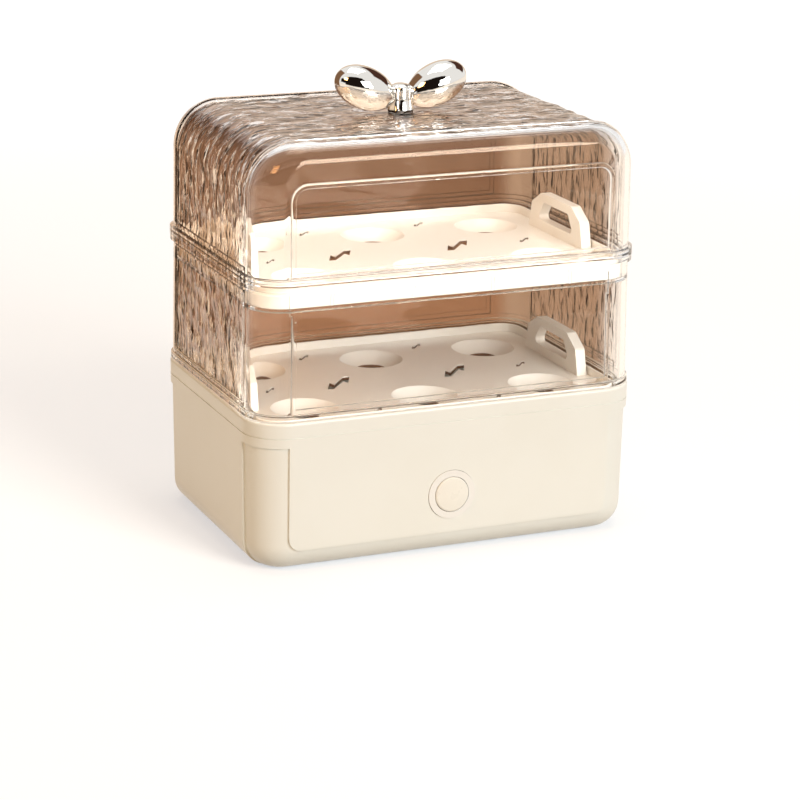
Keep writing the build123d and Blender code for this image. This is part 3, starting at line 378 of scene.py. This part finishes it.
half_width, half_depth, corner = 91.0, 63.0, 15.8   # plan of the clear walls where the ring meets the lid
wall = 2.4
lean = tan(radians(0.7))   # the walls draw in towards the top
joint_level, ring_foot = 130.0, 70.0
side_straight = half_depth - corner
foot_top, panel_top, panel_half = 73.4, 127.0, 76.4   # heights of the front panel, and half its width
panel_step, panel_round, panel_sink = 1.0, 0.75, 0.6
middle_foot, middle_top, middle_half = 75.8, 124.8, 74.3   # of its sunk middle; rippled fields are as high
bead_foot, bead_top = 74.6, 126.0   # of the bead round a rippled field
ripple_foot, ripple_top = 76.1, 124.6
ledge_foot, ledge_top = 118.4, 120.0   # the step inside the wall that carries the upper tray
rib_places, rib_half = (19.0, 57.0), 0.7   # ribs above the step keep the tray in its place
flange, foot_step, lip_deep = 1.6, 0.87, 3.0
bead, field_sink = 0.45, 0.5


def proud(p):
    """How far a point stands out of the plan of the clear walls at the joint, in millimetres."""
    x, y = abs(p.x) - (half_width - corner), abs(p.y) - (half_depth - corner)
    return hypot(max(x, 0), max(y, 0)) + min(max(x, y), 0) - corner


def pick(kind, test):
    """In edit mode, select what passes a test on its middle in millimetres and on its normal or direction."""
    bpy.ops.mesh.select_mode(type=kind)
    bpy.ops.mesh.select_all(action="DESELECT")
    mesh = bmesh.from_edit_mesh(bpy.context.object.data)
    if kind == "FACE":
        for face in mesh.faces:
            face.select_set(test(face.calc_center_median() * 1000, face.normal))
    elif kind == "EDGE":
        for edge in mesh.edges:
            a, b = (v.co for v in edge.verts)
            edge.select_set(test((a + b) * 500, (a - b).normalized()))
    else:
        for vertex in mesh.verts:
            vertex.select_set(test(vertex.co * 1000, vertex.normal))
    bmesh.update_edit_mesh(bpy.context.object.data)


def swell(depth):
    """Extrude the selected faces along their normals by a depth in millimetres."""
    bpy.ops.mesh.extrude_region_shrink_fatten(
        TRANSFORM_OT_shrink_fatten={"value": depth / 1000, "use_even_offset": True})


def draw_out(x, y, z):
    """Extrude the selected faces together, all one way, by millimetres."""
    bpy.ops.mesh.extrude_region_move(TRANSFORM_OT_translate={"value": (x / 1000, y / 1000, z / 1000)})


def round_rim(width):
    """Round off the rim of the selected faces."""
    bpy.ops.mesh.region_to_loop()
    bpy.ops.mesh.bevel(offset=width / 1000, segments=4, affect="EDGES", clamp_overlap=True)


def thicken(piece, depth):
    """Give an open shell its wall, inwards."""
    close()
    solid = piece.modifiers.new("wall", "SOLIDIFY")
    solid.thickness, solid.offset, solid.use_even_offset = depth / 1000, -1.0, True
    bpy.ops.object.modifier_apply(modifier="wall")
    edit(piece)


def soften(width, angle=40, segments=2):
    """Round off every sharp edge of the open piece."""
    bpy.ops.mesh.select_mode(type="EDGE")
    bpy.ops.mesh.select_all(action="DESELECT")
    bpy.ops.mesh.edges_select_sharp(sharpness=radians(angle))
    bpy.ops.mesh.bevel(offset=width / 1000, segments=segments, affect="EDGES", clamp_overlap=True)


def shade(piece, angle=35):
    """Smooth shading that leaves the flat faces flat beside their rounded edges."""
    bpy.ops.object.shade_smooth_by_angle(angle=radians(angle))
    even = piece.modifiers.new("even", "WEIGHTED_NORMAL")
    even.keep_sharp = True
    bpy.ops.object.modifier_apply(modifier="even")


def fade(distance):
    """0 at the edge of a ripple and beyond it, 1 from 1.5 mm inside."""
    return min(1, max(0, distance / 1.5))


def ripple(piece, inside, run, height=0.95, cell=(8.8, 4.4)):
    """Cast a water ripple into the outside of a wall: inside() says how far a point lies in the rippled
    zone, 0 to 1, and run() gives its two distances along the wall, both from millimetres."""
    mesh = piece.data
    weights = piece.vertex_groups.new(name="ripple")
    for vertex in mesh.vertices:
        share = inside(vertex.co * 1000)
        if share > 0:
            weights.add([vertex.index], share, "REPLACE")
    chart = mesh.uv_layers.new(name="ripple")
    for loop in mesh.loops:
        u, v = run(mesh.vertices[loop.vertex_index].co * 1000)
        chart.data[loop.index].uv = (u / (2 * cell[0]), v / (2 * cell[1]))
    for name, kind, strength in (("dimples", "VORONOI", height), ("drift", "CLOUDS", height * 0.6)):
        pattern = bpy.data.textures.new(name, kind)
        if kind == "VORONOI":
            pattern.distance_metric = "DISTANCE_SQUARED"
            pattern.noise_scale = 1.0
        else:
            pattern.noise_scale = 0.7
            pattern.noise_depth = 1
        press = piece.modifiers.new(name, "DISPLACE")
        press.texture, press.texture_coords, press.uv_layer = pattern, "UV", "ripple"
        press.vertex_group, press.strength, press.mid_level = "ripple", strength / 1000, 0.45
        bpy.ops.object.modifier_apply(modifier=name)


ring_rows = 87
foot_spread = (joint_level - ring_foot) * lean
bpy.ops.object.select_all(action="DESELECT")
bpy.ops.mesh.primitive_plane_add(size=0.002, location=(0, 0, ring_foot / 1000))
ring = bpy.context.object
ring.name = "steam_ring_clear"
bpy.ops.object.transform_apply(location=True)
edit(ring)
middle = (0, 0, ring_foot / 1000)
bpy.ops.transform.resize(value=(half_width + foot_spread, half_depth + foot_spread, 1),
                         center_override=middle)
bpy.ops.mesh.bevel(offset=(corner + foot_spread) / 1000, segments=12, affect="VERTICES")
bpy.ops.mesh.select_all(action="SELECT")
bpy.ops.mesh.delete(type="ONLY_FACE")
pick("EDGE", lambda p, d: abs(d.y) > 0.99 and abs(p.y) < 1)
bpy.ops.mesh.subdivide(number_cuts=ring_rows - 1)
rib_edges = [side * (at + half) for side in (-1, 1) for at in rib_places for half in (-rib_half, rib_half)]
for x in rib_edges + [-panel_half, -middle_half, middle_half, panel_half]:
    bpy.ops.mesh.select_all(action="SELECT")
    bpy.ops.mesh.bisect(plane_co=(x / 1000, 0, 0), plane_no=(1, 0, 0))
fine_rows = 36
levels = [ring_foot, 72.0]
levels += [foot_top + (ledge_foot - foot_top) * k / fine_rows for k in range(fine_rows + 1)]
levels += [ledge_top, 121.2, 122.4, 123.6, middle_top, 126.0, panel_top, joint_level]
bpy.ops.mesh.select_all(action="SELECT")
for low, high in zip(levels, levels[1:]):
    bpy.ops.mesh.extrude_edges_move(TRANSFORM_OT_translate={"value": (0, 0, (high - low) / 1000)})
    before, after = ((joint_level - level) * lean for level in (low, high))
    bpy.ops.transform.resize(
        value=((half_width + after) / (half_width + before), (half_depth + after) / (half_depth + before), 1),
        center_override=(0, 0, high / 1000))
bpy.ops.mesh.select_all(action="SELECT")
bpy.ops.mesh.normals_make_consistent(inside=False)
thicken(ring, wall)
for side in (-1, 1):  # raised panels, front and back
    pick("FACE", lambda p, n: abs(p.x) < panel_half and foot_top < p.z < panel_top
         and n.y * side > 0.9 and proud(p) > -1)
    draw_out(0, side * panel_step, 0)
    round_rim(panel_round)
    pick("FACE", lambda p, n: n.y * side > 0.99 and proud(p) - (joint_level - p.z) * lean > 0.8
         and abs(p.x) < middle_half and middle_foot < p.z < middle_top)
    swell(-panel_sink)  # the middle sinks again and leaves a bead round it
pick("FACE", lambda p, n: p.z > panel_top and proud(p) > -1 and abs(n.z) < 0.5)
swell(flange)
pick("FACE", lambda p, n: p.z < foot_top and proud(p) > -0.3 and abs(n.z) < 0.5)
swell(foot_step)
pick("FACE", lambda p, n: p.z < 72 and proud(p) < -1 and abs(n.z) < 0.5)
for step in (1.0, 1.5):  # two steps inwards, so that the second alone carries the lip
    swell(step)
pick("FACE", lambda p, n: p.z < 70.5 and n.z < -0.9 and -4.3 < proud(p) < -3.0)
draw_out(0, 0, -lip_deep)
pick("FACE", lambda p, n: ledge_foot < p.z < ledge_top and proud(p) < -1.8 and abs(n.z) < 0.5)
swell(2.7)
pick("FACE", lambda p, n: ledge_top < p.z < 126 and -3 < proud(p) < -1.8 and abs(n.y) > 0.9
     and min(abs(abs(p.x) - at) for at in rib_places) < 0.6)
swell(0.5)
for inner, depth in ((False, bead), (True, -field_sink)):  # a bead round each rippled field, and the field
    pick("FACE", lambda p, n: bead_foot < p.z < bead_top and abs(p.y) < side_straight and abs(n.x) > 0.9
         and -1 < proud(p) and inner == (abs(p.y) < side_straight * (1 - 2 / ring_rows)
                                         and middle_foot < p.z < middle_top))
    swell(depth)
soften(0.4, segments=3)
close()
ripple(ring,
       lambda p: fade(side_straight - 1.4 - abs(p.y)) * fade(p.z - ripple_foot) * fade(ripple_top - p.z)
       * (proud(p) > -1),
       lambda p: (p.z + (400 if p.x > 0 else 0), p.y))  # 400 keeps the two sides' ripples unlike
shade(ring)
ring.data.materials.append(glass)
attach(ring, "ring")
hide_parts("steam_ring")

# Rims of the egg trays: the upright lip that runs round each tray's plate, just inside the clear walls. It is
# one moulding with the tray, and its foot is sunk a little into the plate.
rim_inset, rim_sunk, rim_height, rim_wall = 5.2, 0.3, 4.2, 1.3
for body, plate in (("lower_tray", 66.0), ("upper_tray", 126.0)):
    bpy.ops.object.select_all(action="DESELECT")
    middle = (0, 0, (plate - rim_sunk) / 1000)
    bpy.ops.mesh.primitive_plane_add(size=0.002, location=middle)
    rim = bpy.context.object
    rim.name = body + "_rim"
    bpy.ops.object.transform_apply(location=True)
    edit(rim)
    bpy.ops.transform.resize(value=(half_width - rim_inset, half_depth - rim_inset, 1),
                             center_override=middle)
    bpy.ops.mesh.bevel(offset=(corner - rim_inset) / 1000, segments=12, affect="VERTICES")
    bpy.ops.mesh.select_all(action="SELECT")
    bpy.ops.mesh.delete(type="ONLY_FACE")
    bpy.ops.mesh.select_all(action="SELECT")
    bpy.ops.mesh.extrude_edges_move(TRANSFORM_OT_translate={"value": (0, 0, rim_height / 1000)})
    bpy.ops.mesh.select_all(action="SELECT")
    bpy.ops.mesh.normals_make_consistent(inside=False)
    thicken(rim, rim_wall)
    soften(0.5, angle=50, segments=3)
    close()
    shade(rim)
    rim.data.materials.append(tray_plastic)
    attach(rim, body)

# Lid: one clear moulding, arched from side to side, with plain rounded ends that carry a raised panel.
# Between the ends the arch is rippled, its foot has a grooved flange, and a lip under it finds the ring.
lid_top, arch_radius, top_end, cap_inset = 190.3, 21.0, 9.6, 14.0
arch_x = half_width - (lid_top - joint_level) * lean - arch_radius
arch_z = lid_top - arch_radius
end_rows, ripple_rows = 9, 88
side_cuts, top_cuts = 27, 107
groove_foot, groove_top, flange_top = 131.4, 132.0, 133.4
lid_bead_foot, lid_field_foot, lid_ripple_foot = 134.6, 135.9, 136.2
pad_top, pad_radius, drill_radius = 191.0, 5.8, 1.7
seat_gap = 0.02   # between the lid and the ring, so that their two clear faces never share a plane


def swing(p):
    """Where a point lies on the arch: 0 on its sides, 1 on its top, between them round its shoulders."""
    if p.z < arch_z:
        return 0.0
    if abs(p.x) < arch_x:
        return 1.0
    return min(1.0, Vector((abs(p.x) - arch_x, p.z - arch_z)).angle_signed(Vector((1, 0)), 0.0) / (pi / 2))


def arch_run(p):
    """Distance of a point along the arch from the middle of its top, in millimetres."""
    turn = swing(p)
    if turn == 1.0 and abs(p.x) < arch_x:
        run = abs(p.x)
    elif turn > 0:
        run = arch_x + arch_radius * (1 - turn) * pi / 2
    else:
        run = arch_x + arch_radius * pi / 2 + arch_z - p.z
    return run if p.x > 0 else -run


def field_half(p):
    """Half the length of the rippled field at a point of the arch, in millimetres."""
    return half_depth - corner - (top_end - corner) * swing(p)


def depth_in_arch(p):
    """How far a point lies inside the arch's outer face, in millimetres."""
    if p.z < arch_z:
        return half_width - (p.z - joint_level) * lean - abs(p.x)
    if abs(p.x) < arch_x:
        return lid_top - p.z
    return arch_radius - hypot(abs(p.x) - arch_x, p.z - arch_z)


middle = (0, -half_depth / 1000, (joint_level + lid_top) / 2000)
bpy.ops.object.select_all(action="DESELECT")
bpy.ops.mesh.primitive_plane_add(size=0.002, rotation=(pi / 2, 0, 0), location=middle)
lid = bpy.context.object
lid.name = "lid_clear"
bpy.ops.object.transform_apply(location=True, rotation=True)
edit(lid)
bpy.ops.transform.resize(value=(half_width, 1, (lid_top - joint_level) / 2), center_override=middle)
pick("VERT", lambda p, n: p.z > 160)
bpy.ops.transform.resize(value=((arch_x + arch_radius) / half_width, 1, 1), center_override=middle)
bpy.ops.mesh.bevel(offset=arch_radius * (1 + lean) / 1000, segments=24, affect="VERTICES")
bpy.ops.mesh.select_all(action="SELECT")
bpy.ops.mesh.delete(type="ONLY_FACE")
for level in (groove_foot, groove_top, flange_top):
    bpy.ops.mesh.select_all(action="SELECT")
    bpy.ops.mesh.bisect(plane_co=(0, 0, level / 1000), plane_no=(0, 0, 1))
pick("EDGE", lambda p, d: abs(d.z) > 0.99 and 134 < p.z < arch_z - 3)
bpy.ops.mesh.subdivide(number_cuts=side_cuts)
pick("EDGE", lambda p, d: abs(d.x) > 0.99 and p.z > 190 and abs(p.x) < 5)
bpy.ops.mesh.subdivide(number_cuts=top_cuts)
bpy.ops.mesh.select_all(action="SELECT")
steps = [corner / end_rows] * end_rows + [2 * side_straight / ripple_rows] * ripple_rows
for step in steps + steps[:end_rows]:
    bpy.ops.mesh.extrude_edges_move(TRANSFORM_OT_translate={"value": (0, step / 1000, 0)})
for side in (-1, 1):
    pick("EDGE", lambda p, d: p.y * side > half_depth - 0.1 and abs(d.y) < 0.5)
    bpy.ops.mesh.edge_face_add()
    for level in (groove_foot, groove_top, flange_top):
        pick("FACE", lambda p, n: p.y * side > half_depth - 0.1 and abs(n.y) > 0.9 and p.z > level)
        bpy.ops.mesh.bisect(plane_co=(0, 0, level / 1000), plane_no=(0, 0, 1))
bpy.ops.mesh.select_all(action="SELECT")
bpy.ops.mesh.normals_make_consistent(inside=False)
pick("FACE", lambda p, n: n.z < -0.9)
bpy.ops.mesh.delete(type="FACE")
close()
start = 1 - cap_inset / corner
for vertex in lid.data.vertices:  # the ends are rounded over, more at the sides than at the top
    p = vertex.co * 1000
    turn = swing(p)
    radius = corner + (top_end - corner) * turn
    along_end = (half_depth - abs(p.y)) / corner
    if along_end < 1.0:
        swept = start + (1 - start) * sin(along_end * pi / 2)
        reach = radius * (1 - sqrt(1 - swept * swept)) if along_end > 0.001 else 0.0
        pull = radius * (1 - swept)
        y = half_depth - reach
    else:
        pull = 0.0
        y = abs(p.y) * (half_depth - radius) / side_straight
    angle = turn * pi / 2
    vertex.co = Vector((
        p.x - (pull * cos(angle) if p.x > 0 else -pull * cos(angle)),
        y if p.y > 0 else -y,
        p.z - pull * sin(angle),
    )) / 1000
edit(lid)
thicken(lid, wall)
end_half, end_top, end_foot, end_corner = 76.2, 174.2, 133.6, 7.6
for side in (-1, 1):  # raised panel on each end: an outline inset in the flat, drawn to shape and lifted
    pick("FACE", lambda p, n: p.z > 140 and n.y * side > 0.99
         and abs(p.y) > half_depth - 0.5 and abs(p.x) < 5)
    bpy.ops.mesh.inset(thickness=0.0001)
    mesh = bmesh.from_edit_mesh(lid.data)
    for vertex in [v for v in mesh.verts if v.select]:
        x, z = vertex.co.x * 1000, vertex.co.z * 1000
        level = z if z > 136.8 else end_foot
        px, pz = abs(x) - (end_half - end_corner), level - (end_top - end_corner)
        if px > 0 and pz > 0:
            scale = end_corner / hypot(px, pz)
            px, pz = px * scale, pz * scale
        elif px > 0:
            px = end_corner
        elif level > 150:
            pz = end_corner
        shape_x = px + end_half - end_corner
        vertex.co.x = (shape_x if x > 0 else -shape_x) / 1000
        vertex.co.z = (pz + end_top - end_corner) / 1000
    bmesh.update_edit_mesh(lid.data)
    bpy.ops.mesh.remove_doubles(threshold=0.0002)
    pick("FACE", lambda p, n: 140 < p.z < 170 and n.y * side > 0.99
         and abs(p.y) > half_depth - 0.5 and abs(p.x) < 5)
    draw_out(0, side * panel_step, 0)
    round_rim(panel_round)
    pick("FACE", lambda p, n: n.y * side > 0.99 and abs(p.y) > half_depth + 0.9)
    bpy.ops.mesh.inset(thickness=0.0011)
    bpy.ops.mesh.inset(thickness=0.0004, depth=-panel_sink / 1000)
pick("FACE", lambda p, n: p.z < flange_top and proud(p) > -1 and abs(n.z) < 0.5)
swell(flange)
pick("FACE", lambda p, n: groove_foot < p.z < groove_top and proud(p) > 1.2 and abs(n.z) < 0.5)
swell(-0.5)
pick("FACE", lambda p, n: p.z < groove_top and -3 < proud(p) < -2 and abs(n.z) < 0.5)
for step in (0.3, 1.5):  # two steps inwards, so that the second alone carries the lip
    swell(step)
pick("FACE", lambda p, n: p.z < 130.5 and n.z < -0.9 and -4.3 < proud(p) < -2.9)
draw_out(0, 0, -lip_deep)
for inner, depth in ((False, bead), (True, -field_sink)):
    pick("FACE", lambda p, n: p.z > lid_bead_foot and abs(p.y) < field_half(p) and -1 < depth_in_arch(p) < 1
         and abs(n.y) < 0.3 and (p.z > 140 or abs(n.x) > 0.9)
         and inner == (p.z > lid_field_foot and abs(p.y) < (1 - 2 / ripple_rows) * field_half(p)))
    swell(depth)
soften(0.4, segments=3)
close()
for name, radius, low, high, action in (  # the round pad under the bow, and the hole for its screw
    ("pad", pad_radius, 189.6, pad_top, "UNION"),
    ("drill", drill_radius, 180.0, 200.0, "DIFFERENCE"),
):
    bpy.ops.object.select_all(action="DESELECT")
    bpy.ops.mesh.primitive_cylinder_add(vertices=72, radius=radius / 1000, depth=(high - low) / 1000,
                                        location=(0, 0, (high + low) / 2000))
    tool = bpy.context.object
    if name == "pad":
        edit(tool)
        soften(0.3)
        close()
    cut = lid.modifiers.new(name, "BOOLEAN")
    cut.object, cut.operation, cut.solver = tool, action, "EXACT"
    bpy.context.view_layer.objects.active = lid
    bpy.ops.object.modifier_apply(modifier=name)
    bpy.data.objects.remove(tool)
bpy.ops.object.select_all(action="DESELECT")
lid.select_set(True)
ripple(lid,
       lambda p: fade(field_half(p) - 1.6 - abs(p.y)) * fade(p.z - lid_ripple_foot)
       * (depth_in_arch(p) < 1) * (hypot(p.x, p.y) > 8.5),
       lambda p: (arch_run(p), p.y))
for vertex in lid.data.vertices:
    if abs(vertex.co.z * 1000 - joint_level) < 0.003:
        vertex.co.z += seat_gap / 1000
shade(lid)
lid.data.materials.append(glass)
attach(lid, "lid")
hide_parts("lid")

# Bow handle: chrome-plated ABS. Two full, drop-shaped loops rise from a pleated knot, whose foot stands on
# the lid's pad and is bored from below for the screw.
loop_at, loop_rise, loop_long, loop_thick, loop_tilt = 17.1, 10.05, 15.2, 10.0, 24.0
foot, waist, crown, height = 6.0, 4.9, 5.0, 11.6   # radii of the knot, and its height above the pad
waist_level, crown_level, crown_rise = 5.5, 9.0, 2.6
groove_at, groove_half, groove_deep = 2.7, 0.8, 0.55
ridge_at, ridge_half, ridge_high = 4.2, 1.1, 0.30
chrome = metal("bow_chrome", (0.80, 0.775, 0.73), 0.025, streak=0.015, tint=0.97)
loops = []
for side in (-1, 1):
    bpy.ops.object.select_all(action="DESELECT")
    bpy.ops.mesh.primitive_uv_sphere_add(segments=96, ring_count=64, radius=0.001)
    loop = bpy.context.object
    edit(loop)
    bpy.ops.mesh.select_all(action="SELECT")
    bpy.ops.transform.rotate(value=pi / 2, orient_axis="Y", center_override=(0, 0, 0))
    bpy.ops.transform.resize(value=(loop_long, loop_thick, loop_thick), center_override=(0, 0, 0))
    close()
    for vertex in loop.data.vertices:  # drawn in towards the knot, fuller away from it
        reach = vertex.co.x * 1000 / loop_long
        full = 0.90 + 0.10 * (reach + 1) / 2 - 0.12 * max(0.0, -reach - 0.4)
        vertex.co.y *= full
        vertex.co.z *= full
    edit(loop)
    bpy.ops.mesh.select_all(action="SELECT")
    if side < 0:
        bpy.ops.transform.mirror(constraint_axis=(True, False, False), center_override=(0, 0, 0))
    tilt = radians(loop_tilt) * side
    bpy.ops.transform.rotate(value=tilt, orient_axis="Y", center_override=(0, 0, 0))
    bpy.ops.transform.translate(value=(side * loop_at / 1000, 0, (pad_top + loop_rise) / 1000))
    bpy.ops.mesh.normals_make_consistent(inside=False)
    close()
    loops.append(loop)

bpy.ops.object.select_all(action="DESELECT")
bpy.ops.mesh.primitive_circle_add(vertices=120, radius=0.001, fill_type="NGON",
                                  location=(0, 0, pad_top / 1000))
bow = bpy.context.object
bow.name = "bow_chrome_knot"
bpy.ops.object.transform_apply(location=True)
edit(bow)
bpy.ops.mesh.select_all(action="SELECT")
bpy.ops.transform.resize(value=(foot, foot, 1), center_override=(0, 0, pad_top / 1000))
profile = []
rounds, even_share = 24, 0.6   # evenly spaced up to this share of them, and closer towards the crown
for k in range(1, rounds + 1):
    t = k / rounds
    rise = height * sin(t * pi / 2) if t > even_share else height * t * sin(even_share * pi / 2) / even_share
    if rise < waist_level:
        radius = waist + (foot - waist) * (1 - rise / waist_level) ** 2
    elif rise < crown_level:
        share = (rise - waist_level) / (crown_level - waist_level)
        radius = waist + (crown - waist) * (1 - cos(share * pi)) / 2
    else:
        radius = crown * sqrt(max(0.0, 1 - ((rise - crown_level) / crown_rise) ** 2)) ** 0.8
    profile.append((max(radius, 0.25), rise))
held, level = foot, 0.0
for radius, rise in profile:
    bpy.ops.mesh.extrude_region_move(TRANSFORM_OT_translate={"value": (0, 0, (rise - level) / 1000)})
    bpy.ops.transform.resize(value=(radius / held, radius / held, 1),
                             center_override=(0, 0, (pad_top + rise) / 1000))
    held, level = radius, rise
pick("FACE", lambda p, n: n.z < -0.9 and p.z < pad_top + 0.1)
bpy.ops.mesh.inset(thickness=(foot - 1.5) / 1000)
draw_out(0, 0, 7.0)
close()
for vertex in bow.data.vertices:  # a broad middle pleat between two narrow ones, front and back
    x, y, z = vertex.co * 1000
    if hypot(x, y) > 2.0:
        groove = groove_deep * max(0.0, 1 - abs(abs(x) - groove_at) / groove_half) ** 1.5
        ridge = ridge_high * max(0.0, 1 - abs(abs(x) - ridge_at) / ridge_half)
        scale = 1 + (ridge - groove) / hypot(x, y)
        vertex.co.x, vertex.co.y = vertex.co.x * (1 + (scale - 1) * 0.3), vertex.co.y * scale
edit(bow)
bpy.ops.mesh.select_all(action="SELECT")
bpy.ops.mesh.normals_make_consistent(inside=False)
close()
for loop in loops:
    loop.select_set(True)
bpy.ops.object.join()
bpy.ops.object.shade_smooth_by_angle(angle=radians(50))
bow.data.materials.append(chrome)
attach(bow, "lid")
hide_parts("bow_handle")
